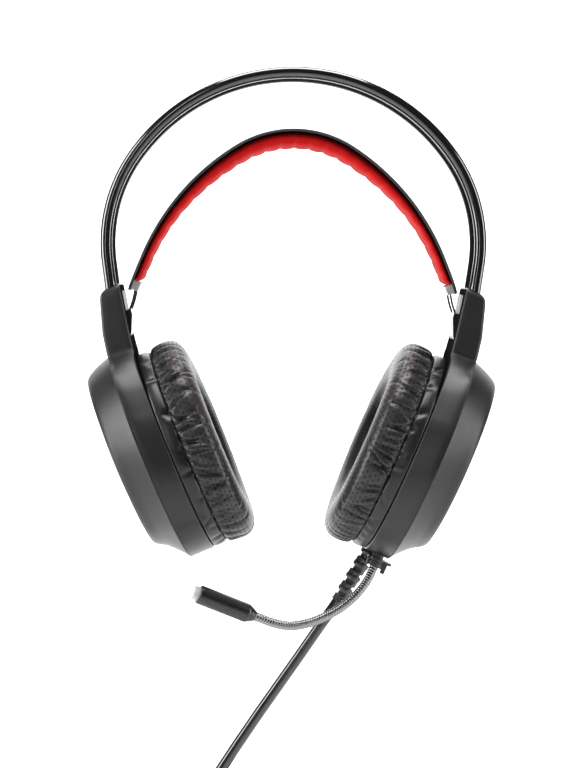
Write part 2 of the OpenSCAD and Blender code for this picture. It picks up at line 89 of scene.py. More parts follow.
# %% Surface helpers
def run_along(path):
    """The distance along a path at each of its points."""
    return np.concatenate([[0], np.cumsum(np.linalg.norm(np.diff(path, axis=0), axis=1))])


def spline(points, spacing):
    """A Catmull-Rom curve through the points, resampled evenly: cubic pieces whose slope at each
    point is half the step between its two neighbours."""
    p = np.asarray(points, float)
    q = np.vstack([2 * p[0] - p[1], p, 2 * p[-1] - p[-2]])
    t = np.linspace(0, 1, 24, endpoint=False)[:, None]
    a, b, c, d = (q[i:len(q) - 3 + i][:, None] for i in range(4))
    dense = 0.5 * (2 * b + (c - a) * t + (2 * a - 5 * b + 4 * c - d) * t ** 2
                   + (3 * b - a - 3 * c + d) * t ** 3)
    dense = np.vstack([dense.reshape(-1, p.shape[1]), p[-1]])
    run = run_along(dense)
    even = np.linspace(0, run[-1], max(2, int(round(run[-1] / spacing)) + 1))
    return np.stack([np.interp(even, run, dense[:, k]) for k in range(p.shape[1])], axis=1)


def unit(v):
    """Vectors scaled to length one."""
    return v / np.linalg.norm(v, axis=-1, keepdims=True)


def around(count):
    """Angles evenly round a circle, without the last one that would repeat the first."""
    return np.linspace(0, 2 * np.pi, count, endpoint=False)


def tube(path, radius, sides):
    """Rings round a path: at each point, radius times cos and sin along two directions square to
    the path's heading. The radius may change along the path and round the ring."""
    heading = unit(np.gradient(path, axis=0))
    a = unit(np.cross([0.0, 1.0, 0.0], heading))
    b = np.cross(heading, a)
    turn = around(sides)
    r = np.asarray(radius, float)
    r = np.broadcast_to(r if r.ndim == 2 else r.reshape(-1, 1), (len(path), sides))[..., None]
    return path[:, None] + r * (np.cos(turn)[None, :, None] * a[:, None]
                                + np.sin(turn)[None, :, None] * b[:, None])


def rings_about(r, h, turn, middle=0):
    """Rings (middle + radius cos, radius sin, height) at the given angles."""
    return np.stack([middle + r * np.cos(turn), r * np.sin(turn), h + 0 * turn], axis=-1)


def lathe(profile, sides):
    """Rings from a profile of (radius, height) pairs turned round the height axis."""
    return rings_about(profile[:, 0, None], profile[:, 1, None], around(sides))


def rounded(profile, radius, steps=5):
    """A closed or open chain of (a, b) corners with every inner corner replaced by a small
    quadratic curve that starts and ends at most radius away from it."""
    p = np.asarray(profile, float)
    out = [p[:1]]
    t = np.linspace(0, 1, steps)[:, None]
    for before, corner, after in zip(p[:-2], p[1:-1], p[2:]):
        room = min(np.linalg.norm(corner - before), np.linalg.norm(after - corner))
        cut = min(radius, 0.45 * room)
        s = corner + cut * unit(before - corner)
        e = corner + cut * unit(after - corner)
        out.append((1 - t) ** 2 * s + 2 * t * (1 - t) * corner + t ** 2 * e)
    return np.vstack(out + [p[-1:]])


DATUM = 3.2


def place(points):
    """Millimetres over the datum into metres in the frame."""
    return (np.asarray(points, float) + [0.0, 0.0, DATUM]) / 1000.0


def closed_grid(stack, is_loop):
    """Corners, quads, end fans and the quads' UV corners of one stack of rings. The UV map counts
    columns across and rows up. Faces are turned outward by the sign of the enclosed volume, which
    is a sum of triple products over the faces."""
    rows, cols = stack.shape[:2]
    i, j = np.meshgrid(np.arange(rows if is_loop else rows - 1), np.arange(cols), indexing="ij")
    i2, j2 = (i + 1) % rows, (j + 1) % cols
    quads = np.stack([i * cols + j, i * cols + j2, i2 * cols + j2, i2 * cols + j], -1).reshape(-1, 4)
    quad_uv = np.stack([np.stack([j, i], -1), np.stack([j + 1, i], -1),
                        np.stack([j + 1, i + 1], -1), np.stack([j, i + 1], -1)], -2)
    quad_uv = quad_uv.reshape(-1, 4, 2) / np.array([cols, rows])
    flat = stack.reshape(-1, 3)
    a, b, c, d = (flat[quads[:, k]] for k in range(4))
    volume = np.einsum("ij,ij->", a, np.cross(b, c)) + np.einsum("ij,ij->", a, np.cross(c, d))
    fans = np.zeros((0, 3), int)
    if not is_loop:
        first_middle = rows * cols
        last_ring = first_middle - cols
        flat = np.vstack([flat, stack[0].mean(0), stack[-1].mean(0)])
        here, after = np.arange(cols), np.roll(np.arange(cols), -1)
        fans = np.vstack([np.stack([np.full(cols, first_middle), after, here], -1),
                          np.stack([np.full(cols, first_middle + 1), last_ring + here,
                                    last_ring + after], -1)])
        volume += np.einsum("ij,ij->", flat[fans[:, 0]], np.cross(flat[fans[:, 1]], flat[fans[:, 2]]))
    if volume < 0:
        quads, quad_uv, fans = quads[:, ::-1], quad_uv[:, ::-1], fans[:, ::-1]
    return flat, quads, fans, quad_uv.reshape(-1, 2)


def smooth_object(name, points, faces):
    """A smooth-shaded mesh object at the origin, from points in metres."""
    mesh = bpy.data.meshes.new(name)
    mesh.from_pydata(points.tolist(), [], faces)
    mesh.polygons.foreach_set("use_smooth", [True] * len(mesh.polygons))
    piece = bpy.data.objects.new(name, mesh)
    bpy.context.scene.collection.objects.link(piece)
    return piece


def skin(name, rings, body, slot, nodes=(), loop=False, more=()):
    """One closed mesh from rings of shape (rows, columns, 3) in millimetres, with any further
    stacks joined to it. It stands for the named CAD nodes and rides on a body."""
    corners, faces, uvs, offset = [], [], [], 0
    for stack, is_loop in [(rings, loop)] + [(m, False) for m in more]:
        flat, quads, fans, quad_uv = closed_grid(stack, is_loop)
        faces += (quads + offset).tolist() + (fans + offset).tolist()
        uvs += [quad_uv, np.zeros((3 * len(fans), 2))]
        corners.append(flat)
        offset += len(flat)
    piece = smooth_object(name, place(np.vstack(corners)), faces)
    mesh = piece.data
    mesh.uv_layers.new(name="lay").data.foreach_set("uv", np.vstack(uvs).ravel().astype(np.float32))
    mesh.materials.append(MATERIALS[slot])
    if nodes:
        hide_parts(*nodes)
    if body:
        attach(piece, body)
    print(name, "faces", len(mesh.polygons))
    return piece


CUPS = (("left", 1), ("right", -1))
TILT = math.radians(23.0)
CUP_X, CUP_Z = 53.6, -145.2


def cup_to_world(local, side):
    """Cup coordinates (down, front to rear, outward) into the frame; side is 1 for the wearer's
    left cup and -1 for its mirror image."""
    u, y, n = local[..., 0], local[..., 1], local[..., 2]
    x = CUP_X - u * math.sin(TILT) + n * math.cos(TILT)
    z = CUP_Z - u * math.cos(TILT) - n * math.sin(TILT)
    return np.stack([side * x, y, z], axis=-1)


def smoothstep(t):
    """0 below 0, 1 above 1, and an S curve between."""
    t = np.clip(t, 0, 1)
    return t * t * (3 - 2 * t)


# %% [markdown]
# ## Materials
# Image textures would tie a finish to one size and one UV layout. Patterns worked out by nodes have
# neither limit. Three effects are shared: a fine grain in the moulded plastic, slow changes of
# gloss, and the punched holes of the ear leather. Each is a group that puts out only values and
# normals.

# %% Shared node groups
def new_group(name, inputs, outputs):
    """An empty node group with named float inputs and named outputs."""
    group = bpy.data.node_groups.new(name, "ShaderNodeTree")
    for label, value in inputs:
        socket = group.interface.new_socket(name=label, in_out="INPUT", socket_type="NodeSocketFloat")
        socket.default_value = value
    for label, kind in outputs:
        group.interface.new_socket(name=label, in_out="OUTPUT", socket_type=kind)
    return group, group.nodes.new("NodeGroupInput"), group.nodes.new("NodeGroupOutput")


def maths(tree, operation, a, b=None):
    """A math node whose inputs are sockets or plain numbers."""
    node = tree.nodes.new("ShaderNodeMath")
    node.operation = operation
    for k, value in enumerate(v for v in (a, b) if v is not None):
        if isinstance(value, bpy.types.NodeSocket):
            tree.links.new(value, node.inputs[k])
        else:
            node.inputs[k].default_value = value
    return node.outputs[0]


def object_noise(group, scale, detail):
    """Noise that reads Object coordinates, so that it stays with the piece."""
    where = group.nodes.new("ShaderNodeTexCoord")
    noise = group.nodes.new("ShaderNodeTexNoise")
    noise.inputs["Detail"].default_value = detail
    group.links.new(where.outputs["Object"], noise.inputs["Vector"])
    group.links.new(scale, noise.inputs["Scale"])
    return noise.outputs["Fac"]


def grain_group():
    """Fine moulded grain: noise in object space drives a bump, and its value is put out too."""
    group, given, out = new_group("moulded_grain", [("Scale", 900.0), ("Depth", 0.00002)],
                                  [("Normal", "NodeSocketVector"), ("Value", "NodeSocketFloat")])
    value = object_noise(group, given.outputs["Scale"], 3.0)
    bump = group.nodes.new("ShaderNodeBump")
    bump.inputs["Strength"].default_value = 1.0
    group.links.new(given.outputs["Depth"], bump.inputs["Distance"])
    group.links.new(value, bump.inputs["Height"])
    group.links.new(bump.outputs["Normal"], out.inputs["Normal"])
    group.links.new(value, out.inputs["Value"])
    return group


def gloss_group():
    """Slow handling marks: low noise mapped to a roughness between two values."""
    group, given, out = new_group("handling_gloss", [("Scale", 60.0), ("Low", 0.3), ("High", 0.4)],
                                  [("Roughness", "NodeSocketFloat")])
    value = object_noise(group, given.outputs["Scale"], 4.0)
    spread = group.nodes.new("ShaderNodeMapRange")
    spread.inputs["From Min"].default_value = 0.3
    spread.inputs["From Max"].default_value = 0.7
    group.links.new(value, spread.inputs["Value"])
    group.links.new(given.outputs["Low"], spread.inputs["To Min"])
    group.links.new(given.outputs["High"], spread.inputs["To Max"])
    group.links.new(spread.outputs["Result"], out.inputs["Roughness"])
    return group


def holes_group():
    """Punched holes: the UV map is cut into cells, odd rows shifted by half, and a hole is where
    the distance to a cell's middle is below the hole's share of the cell."""
    group, given, out = new_group(
        "punched_holes",
        [("Across", 104.0), ("Along", 27.0), ("Hole", 0.17), ("From", 0.06), ("To", 0.62)],
        [("Mask", "NodeSocketFloat")])
    lay = group.nodes.new("ShaderNodeUVMap")
    lay.uv_map = "lay"
    split = group.nodes.new("ShaderNodeSeparateXYZ")
    group.links.new(lay.outputs["UV"], split.inputs["Vector"])
    calc = lambda *parts: maths(group, *parts)
    u, v = split.outputs["X"], split.outputs["Y"]
    row = calc("MULTIPLY", v, given.outputs["Along"])
    shift = calc("MULTIPLY", calc("MODULO", calc("FLOOR", row), 2.0), 0.5)
    col = calc("ADD", calc("MULTIPLY", u, given.outputs["Across"]), shift)
    dx = calc("SUBTRACT", calc("FRACT", col), 0.5)
    dy = calc("SUBTRACT", calc("FRACT", row), 0.5)
    far = calc("SQRT", calc("ADD", calc("MULTIPLY", dx, dx), calc("MULTIPLY", dy, dy)))
    hole = calc("LESS_THAN", far, given.outputs["Hole"])
    inside = calc("MULTIPLY", calc("GREATER_THAN", v, given.outputs["From"]),
                  calc("LESS_THAN", v, given.outputs["To"]))
    group.links.new(calc("MULTIPLY", hole, inside), out.inputs["Mask"])
    return group


GROUPS = {"grain": grain_group(), "gloss": gloss_group(), "holes": holes_group()}
print("groups:", sorted(GROUPS))


# %% [markdown]
# ## Finishes
# Every finish could have its own node tree, but most differ only in a few numbers. So one routine
# makes them all: a Principled surface whose roughness wanders a little and whose normal carries the
# grain. Leather adds creases from a cell pattern, and ear leather adds the holes, whose near-black
# is painted shade for their depth. The housings are duller on their head side, which the second UV
# axis marks.

# %% Finishes
COLOUR_A, COLOUR_B, COLOUR_OUT = 6, 7, 2     # a Mix node's colour sockets go by number
# painted shade: the near-black put into each punched hole stands for the shade in its depth
HOLE_PAINTED_SHADE = (0.001, 0.001, 0.001, 1.0)


def crease(tree, normal, strength):
    """Leather creases: a bump from the distance to the nearest cell edge, cut off at a small
    distance, so that flat islands lie between narrow valleys."""
    where = tree.nodes.new("ShaderNodeTexCoord")
    cells = tree.nodes.new("ShaderNodeTexVoronoi")
    cells.feature = "DISTANCE_TO_EDGE"
    cells.inputs["Scale"].default_value = 700.0
    tree.links.new(where.outputs["Object"], cells.inputs["Vector"])
    bump = tree.nodes.new("ShaderNodeBump")
    bump.inputs["Strength"].default_value = strength
    bump.inputs["Distance"].default_value = 0.00008
    tree.links.new(maths(tree, "MINIMUM", cells.outputs["Distance"], 0.12), bump.inputs["Height"])
    tree.links.new(normal, bump.inputs["Normal"])
    return bump.outputs["Normal"]


def punch(tree, surface, normal, colour, roughness):
    """Punched holes: where the mask is 1 the surface sinks and loses its gloss, and its colour goes near
    black, a painted shade for the depth of the hole.
    """
    punched = tree.nodes.new("ShaderNodeGroup")
    punched.node_tree = GROUPS["holes"]
    mask = punched.outputs["Mask"]
    sunk = tree.nodes.new("ShaderNodeBump")
    sunk.invert = True
    sunk.inputs["Distance"].default_value = 0.0006
    tree.links.new(mask, sunk.inputs["Height"])
    tree.links.new(normal, sunk.inputs["Normal"])
    # painted shade: the hole mask blends the finish's colour to near black inside each hole
    mix = tree.nodes.new("ShaderNodeMix")
    mix.data_type = "RGBA"
    mix.inputs[COLOUR_A].default_value = (*colour, 1.0)
    mix.inputs[COLOUR_B].default_value = HOLE_PAINTED_SHADE
    tree.links.new(mask, mix.inputs[0])
    tree.links.new(mix.outputs[COLOUR_OUT], surface.inputs["Base Color"])
    tree.links.new(maths(tree, "MAXIMUM", roughness, mask), surface.inputs["Roughness"])
    return sunk.outputs["Normal"]


def dull_beyond(tree, surface, limit, shine, roughness):
    """No shine where the second UV axis is over a limit: roughness at least 0.9, no reflection."""
    lay = tree.nodes.new("ShaderNodeUVMap")
    lay.uv_map = "lay"
    split = tree.nodes.new("ShaderNodeSeparateXYZ")
    tree.links.new(lay.outputs["UV"], split.inputs["Vector"])
    hidden = maths(tree, "GREATER_THAN", split.outputs["Y"], limit)
    dull = maths(tree, "MAXIMUM", roughness, maths(tree, "MULTIPLY", hidden, 0.9))
    tree.links.new(dull, surface.inputs["Roughness"])
    kept = maths(tree, "MULTIPLY", maths(tree, "SUBTRACT", 1.0, hidden), shine)
    tree.links.new(kept, surface.inputs["Specular IOR Level"])


def finish(slot, colour, rough, metal=0.0, grain=(900.0, 0.00001), coat=0.0, leather=0.0,
           holes=False, through=0.0, shine=0.5, edge=1.0, dull_from=0.0):
    """A finish for one material slot: plain values, a wandering roughness and a grained normal,
    with creases, holes or a dull side where they are asked for."""
    mat = bpy.data.materials.new(slot)
    mat.use_nodes = True
    tree = mat.node_tree
    surface = tree.nodes["Principled BSDF"]
    plain = {"Base Color": (*colour, 1.0), "Metallic": metal, "Coat Weight": coat,
             "Coat Roughness": 0.08, "Transmission Weight": through, "Specular IOR Level": shine,
             "Specular Tint": (edge, edge, edge, 1.0)}
    for label, value in plain.items():
        surface.inputs[label].default_value = value
    gloss = tree.nodes.new("ShaderNodeGroup")
    gloss.node_tree = GROUPS["gloss"]
    gloss.inputs["Low"].default_value, gloss.inputs["High"].default_value = rough
    roughness = gloss.outputs["Roughness"]
    tree.links.new(roughness, surface.inputs["Roughness"])
    fine = tree.nodes.new("ShaderNodeGroup")
    fine.node_tree = GROUPS["grain"]
    fine.inputs["Scale"].default_value, fine.inputs["Depth"].default_value = grain
    normal = fine.outputs["Normal"]
    if leather:
        normal = crease(tree, normal, leather)
    if holes:
        normal = punch(tree, surface, normal, colour, roughness)
    if dull_from:
        dull_beyond(tree, surface, dull_from, shine, roughness)
    tree.links.new(normal, surface.inputs["Normal"])
    return mat


def grey(v):
    """A grey of one strength, with a trace more blue, as black plastics and steel have."""
    return (v, v, v * 1.02)


FINISHES = {
    "bow_steel": (grey(0.005), (0.1, 0.14), dict(grain=(300.0, 0.000002), coat=1.0, shine=1.0)),
    "wire_copper": (grey(0.02), (0.4, 0.5), dict()),
    "strap_black": (grey(0.04), (0.36, 0.46), dict(leather=0.5)),
    "liner_red": ((0.58, 0.010, 0.010), (0.6, 0.72), dict(leather=0.5, shine=0.05)),
    "clip_grey": ((0.55, 0.57, 0.58), (0.3, 0.4), dict(through=0.2)),
    "elastic_black": (grey(0.015), (0.5, 0.6), dict()),
    "gloss_black": (grey(0.012), (0.2, 0.28), dict()),
    "housing_black": (grey(0.015), (0.34, 0.42), dict(grain=(1400.0, 0.000006), dull_from=0.66)),
    "plate_black": (grey(0.05), (0.25, 0.32), dict(grain=(1400.0, 0.000006))),
    "diffuser_smoke": (grey(0.06), (0.3, 0.4), dict()),
    "board_green": ((0.01, 0.09, 0.04), (0.4, 0.5), dict()),
    "inner_plastic": (grey(0.012), (0.85, 0.95), dict(shine=0.0)),
    "magnet_steel": (grey(0.4), (0.3, 0.4), dict(metal=1.0)),
    "diaphragm_film": (grey(0.3), (0.2, 0.3), dict()),
    "cloth_black": (grey(0.01), (0.85, 0.95), dict(grain=(2500.0, 0.0001))),
    "skirt_leather": (grey(0.012), (0.3, 0.4), dict(leather=0.3)),
    "cushion_leather": (grey(0.02), (0.3, 0.4), dict(leather=0.6, holes=True)),
    "screw_black": (grey(0.05), (0.3, 0.4), dict(metal=1.0)),
    "rubber_black": (grey(0.02), (0.28, 0.36), dict(shine=0.8)),
    "neck_chrome": (grey(0.33), (0.1, 0.16), dict(metal=1.0, grain=(600.0, 0.000001), edge=0.2)),
    "mic_black": (grey(0.012), (0.24, 0.32), dict(grain=(1400.0, 0.000003), shine=0.7)),
    "capsule_alu": (grey(0.6), (0.3, 0.4), dict(metal=1.0)),
    "lens_white": ((0.6, 0.61, 0.62), (0.25, 0.32), dict()),
    "cord_black": (grey(0.008), (0.16, 0.22), dict(grain=(700.0, 0.000004), coat=0.6, shine=0.8)),
    "tie_black": (grey(0.012), (0.8, 0.9), dict(grain=(2500.0, 0.0001))),
    "plug_black": (grey(0.016), (0.35, 0.45), dict()),
    "plug_steel": (grey(0.6), (0.25, 0.35), dict(metal=1.0)),
    "plug_tongue": (grey(0.75), (0.4, 0.5), dict()),
}
MATERIALS = {slot: finish(slot, colour, rough, **more)
             for slot, (colour, rough, more) in FINISHES.items()}
for entry in frame["record"]["subparts"]:
    NODES[entry["node"]].data.materials.clear()
    NODES[entry["node"]].data.materials.append(MATERIALS[entry["material_slot"]])
print("finishes:", len(MATERIALS))

# %% [markdown]
# ## Cord
# The real cord is one jacketed cable from the left cup to the plug. It hangs slantwise from its
# strain relief, runs into a wound coil and comes out again to the plug. A curve object with a round
# bevel would also draw it, but a tube along an even path keeps its thickness in every bend. The
# coil is computed as four layers of three turns. Each step from lane to lane is made in its own
# part of the turn, so that the cable never crosses itself.

# %% Cord
CORD_D = 5.4
LANE = 5.47                                  # from one turn of the coil to the next
COIL_R = 21.75                               # radius of the innermost lane
COIL_TURNS, LAYERS, LANES = 12, 4, 3
COIL = np.array([-21.0, 13.6, -342.0])
CORD_ROUTE = [[24.7, 6, -214.3], [19.3, 6, -222.3], [13.7, 6, -230.5], [8.4, 6, -238.4], [3, 6, -246.4],
              [-2.4, 6, -254.3], [-7.8, 6, -262.2], [-13.2, 6, -270.1], [-18.5, 5.9, -278.1],
              [-23.8, 5.7, -286.1], [-29, 5.5, -294.2], [-34.2, 5.45, -302.3], [-39.2, 5.4, -309.9],
              [-43.6, 5.4, -316.7]]
TAIL_ROUTE = [[-34.5, 21.8, -312.2], [-42, 21.8, -315.4], [-50, 21.75, -319.8], [-57.5, 21.7, -325.2],
              [-64.2, 21.7, -331.8], [-69.4, 21.7, -339.8], [-72.6, 21.7, -348.8], [-73.4, 21.7, -358]]


def coil_path(centre, start_deg, total_deg):
    """One turn for each lane of each layer: the angle grows steadily, and radius and depth are
    sums of smooth steps, one for each change of lane."""
    lanes = [(LANES - 1 - k if layer % 2 == 0 else k, layer)
             for layer in range(LAYERS) for k in range(LANES)]
    run = np.arange(0, total_deg + 1, 12.0)
    radius = np.full_like(run, lanes[0][0])
    depth = np.zeros_like(run)
    for k, (old, new) in enumerate(zip(lanes[:-1], lanes[1:]), 1):
        start = 360.0 * k - (180.0 if old[1] == new[1] else 120.0)
        step = smoothstep((run - start) / 60.0)
        radius += (new[0] - old[0]) * step
        depth += (new[1] - old[1]) * step
    r = COIL_R + LANE * radius
    turn = np.radians(start_deg + run)
    y = LANE * (depth - (LAYERS - 1) / 2)
    return centre + np.stack([r * np.cos(turn), y, r * np.sin(turn)], axis=1)


coil = coil_path(COIL, 146.5, COIL_TURNS * 360 - 36.5)
cord_path = spline(np.vstack([CORD_ROUTE, coil, TAIL_ROUTE]), 2.5)
cord = skin("cord_jacket", tube(cord_path, CORD_D / 2, 16), "headset_frame", "cord_black",
            ["cord", "cord_coil", "cord_tail"])

# %% [markdown]
# ## Cord tie
# A hook-and-loop strip is wrapped once round the coil's section. A bent plane with a Solidify
# modifier would do, but its edges would be sharp. Here a small section with soft edges is swept
# round a rounded rectangle.

# %% Cord tie
def band(centre, direction, half_a, half_b, thick, width):
    """A strip closed on itself: a rounded rectangle in the plane of one direction and Y, with a
    small rounded section swept round it."""
    turn = around(96)
    squared = lambda f, half, power: half * np.sign(f) * np.abs(f) ** power
    line = (squared(np.cos(turn), half_a, 0.35)[:, None] * direction
            + squared(np.sin(turn), half_b, 0.35)[:, None] * np.array([0.0, 1.0, 0.0]))
    out = unit(line)
    side = np.cross(direction, [0.0, 1.0, 0.0])
    a = around(16)
    sec_out = squared(np.sin(a), thick / 2, 0.5)
    sec_side = squared(np.cos(a), width / 2, 0.3)
    return (centre + line[:, None] + sec_out[None, :, None] * out[:, None]
            + sec_side[None, :, None] * side)


TIE_TURN = math.radians(120)
TIE_R = 27.2                                 # from the coil's middle to the middle of its section
tie_dir = np.array([math.sin(TIE_TURN), 0.0, math.cos(TIE_TURN)])
tie_rings = band(COIL + TIE_R * tie_dir, tie_dir, half_a=9.3, half_b=12.0, thick=0.9, width=7.0)
skin("tie_strip", tie_rings, "headset_frame", "tie_black", ["cord_tie"], loop=True)

# %% [markdown]
# ## Bows
# Two bent steel tubes with a glossy enamel carry the headset. A torus cut in half would give only
# one radius, and a real bow is bent with several. So each is a round section swept along a crown
# arc, a tighter arc at each temple and a straight end that goes down into the arm.

# %% Bows
BOW_R, SIDE_R = 90.2, 70.4                   # crown arc and temple arcs
RISE = 31.5                                  # the crown's middle line over the datum
JOIN, LEAN = 35.0, 8.0                       # degrees where the arcs meet and where they end
END = 33.0                                   # straight end
BOW_TUBE_R, BOW_Y = 2.8, 13.5


def bow_line(y):
    """The middle line of one bow tube: three arcs that share tangents, and two straight ends."""
    dr = BOW_R - SIDE_R
    join, lean = math.radians(JOIN), math.radians(LEAN)
    sx = dr * math.cos(join)
    sz = RISE - BOW_R + dr * math.sin(join)
    side_a = np.radians(np.linspace(-LEAN, JOIN, 40))[:-1]
    crown_a = np.radians(np.linspace(JOIN, 90, 50))
    foot = np.array([sx + SIDE_R * math.cos(lean), sz - SIDE_R * math.sin(lean)])
    down = np.array([-math.sin(lean), -math.cos(lean)])
    straight = foot + np.linspace(END - 1, 0, 12)[:-1, None] * down
    temple = np.stack([sx + SIDE_R * np.cos(side_a), sz + SIDE_R * np.sin(side_a)], 1)
    crown = np.stack([BOW_R * np.cos(crown_a), RISE - BOW_R + BOW_R * np.sin(crown_a)], 1)
    half = np.vstack([straight, temple, crown])
    whole = np.vstack([half, (half * [-1, 1])[:-1][::-1]])
    return np.stack([whole[:, 0], np.full(len(whole), y), whole[:, 1]], axis=1)


for label, y in (("front", -BOW_Y), ("rear", BOW_Y)):
    skin(label + "_bow_tube", tube(bow_line(y), BOW_TUBE_R, 32), "headset_frame", "bow_steel",
         [label + "_bow"])
print("bow height", RISE + BOW_TUBE_R)

# %% [markdown]
# ## Suspension strap and padded liner
# The strap is a thin black band that narrows to a tab at each end. Under it the red liner is foam
# wrapped in imitation leather, quilted across so that its underside shows a row of soft bumps.
# Cloth simulation could puff up the channels, but they are regular, so a rounded section whose
# depth rises and falls along the strap is enough.

# %% Strap and liner
R1, A1 = 51.0, math.radians(32.0)            # crown arc: radius, and slope where it ends
R2, A2 = 110.0, math.radians(68.0)           # side arc
ARC1 = R1 * A1
ARC2 = ARC1 + R2 * (A2 - A1)
STRAP_TOP, STRAP_THICK = 5.7, 1.5
QUILT = 8.6                                  # from one quilting seam to the next


def strap_point(s, inset, y):
    """A point at length s from the crown and at a depth under the strap's top: the slope grows
    with s over two arcs, then stays."""
    q = np.abs(s)
    a = np.where(q < ARC1, q / R1, np.minimum(A1 + (q - ARC1) / R2, A2))
    low = np.minimum(a, A1)
    run = np.maximum(q - ARC2, 0)
    far = a > A1
    x = R1 * np.sin(low) + np.where(far, R2 * (np.sin(a) - math.sin(A1)), 0) + run * np.cos(a)
    drop = (R1 * (1 - np.cos(low)) + np.where(far, R2 * (math.cos(A1) - np.cos(a)), 0)
            + run * np.sin(a))
    x = np.sign(s + 1e-9) * (x - inset * np.sin(a))
    return np.stack([x, y + 0 * x, STRAP_TOP - drop - inset * np.cos(a)], axis=-1)


def section(half_w, top, thick, power, sides=56):
    """A rounded rectangle as a superellipse: half width and thickness, both may change by row."""
    turn = around(sides)
    c, s = np.cos(turn), np.sin(turn)
    y = np.sign(c) * np.abs(c) ** (2 / power)
    d = np.sign(s) * np.abs(s) ** (2 / power)
    return half_w[:, None] * y, top[:, None] + thick[:, None] * (0.5 - 0.5 * d)


reach = ARC2 + 16.6
s = np.linspace(-reach, reach, 260)
tab = smoothstep((reach - np.abs(s)) / 9.0)
half_w = 12.5 + 6.3 * tab - 4.0 * smoothstep((np.abs(s) - reach + 2.5) / 2.5)
y, inset = section(half_w, np.full_like(s, 0.05), np.full_like(s, STRAP_THICK), 6.0)
skin("strap_band", strap_point(s[:, None], inset, y), "suspension", "strap_black", ["suspension_strap"])

reach = ARC2 + 11.3
s = np.linspace(-reach, reach, 620)
bump = np.abs(np.sin(np.pi * (s + 1.5 * np.sin(s / 17.0)) / QUILT)) ** 0.7
end = 0.3 + 0.7 * np.sqrt(np.clip((reach - np.abs(s)) / 2.6, 0, 1))
thick = (7.25 - 3.6 * smoothstep((np.abs(s) - 8) / 100)) * (0.90 + 0.10 * bump) * end
y, inset = section(16.6 + 0.3 * bump, np.full_like(s, STRAP_THICK), thick, 2.8)
liner = skin("liner_pad", strap_point(s[:, None], inset, y), "suspension", "liner_red",
             ["strap_liner"])

# %% [markdown]
# ## Elastic cords
# Two thin elastic cords on each side run from the clip to the arm. A rigid tube would tear away
# from one end as the strap rises. Here each pair is one piece, parented to no body, with its place
# baked into the mesh.

# %% Elastic cords
for label, side in CUPS:
    route = spline([[72.9, 0, -65.8], [73.3, 0, -69.4], [74.3, 0, -74.5], [76.2, 0, -80.4]], 0.6)
    route[:, 0] *= side
    pair = [tube(route + [0, y, 0], 0.5, 12) for y in (-9.0, 9.0)]
    elastic = skin(label + "_elastic", pair[0], None, "elastic_black", [label + "_elastic_cords"],
                   more=pair[1:])
    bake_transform(elastic)

# %% [markdown]
# ## Arms with their cup rings
# On the real headset the arm and the ring round the cup are one moulding. Joining a box to a ring
# with a Boolean would leave a hard line between them. So it is one closed surface: an outline in
# the plane of the cup, round below and drawn up into the arm above, with the depth of the moulding
# given by the distance down the cup.

# %% Arm and ring
RING_R, BORE_R = 48.6, 46.0
BEVEL = 0.9
SHELL_EDGE_R, SHELL_EDGE_U = 50.75, 2.1      # the outer shell's seam: radius, and shift up the cup


def ring_outline():
    """The outer outline, half of it: the arm's top, its rounded corner, its straight side, the
    fold at its foot and the shoulder, then the circle of the ring. The other half is its mirror
    image."""
    top = [[-82.9, 0], [-82.9, 5], [-82.9, 10], [-82.8, 14.6], [-82.2, 16.8], [-80.7, 18.1]]
    straight = [[-78, 18.5], [-73, 18.7], [-67.6, 18.9], [-62, 19.1], [-57, 19.2], [-53.4, 19.3]]
    shoulder = [[-52.3, 19.8], [-51.4, 20.9], [-50.0, 22.8], [-47.6, 25.8], [-44.4, 29.0],
                [-40.6, 32.3], [-36.2, 35.5], [-31.4, 38.3]]
    arc = np.radians(np.arange(120.0, -1, -4.0))
    circle = RING_R * np.stack([np.cos(arc), np.sin(arc)], axis=1)
    return spline(np.vstack([top, straight, shoulder, circle]), 0.8)


def head_side(u):
    """Depth of the moulding's head-side face, by the distance down the cup."""
    return np.interp(u, [-83.2, -82.4, -58.6, -51.7, -48.8], [-5.2, -5.95, -1.45, -0.4, 0.45])


def outward_side(u):
    """Depth of its outward face, which thickens from the arm's top to the ring."""
    return np.interp(u, [-83.2, -82.7, -81.7, -78.5, -64.2, -56, -52.5, -48],
                     [0.9, 2.4, 4.2, 5.3, 9.95, 11.5, 12.0, 12.1])


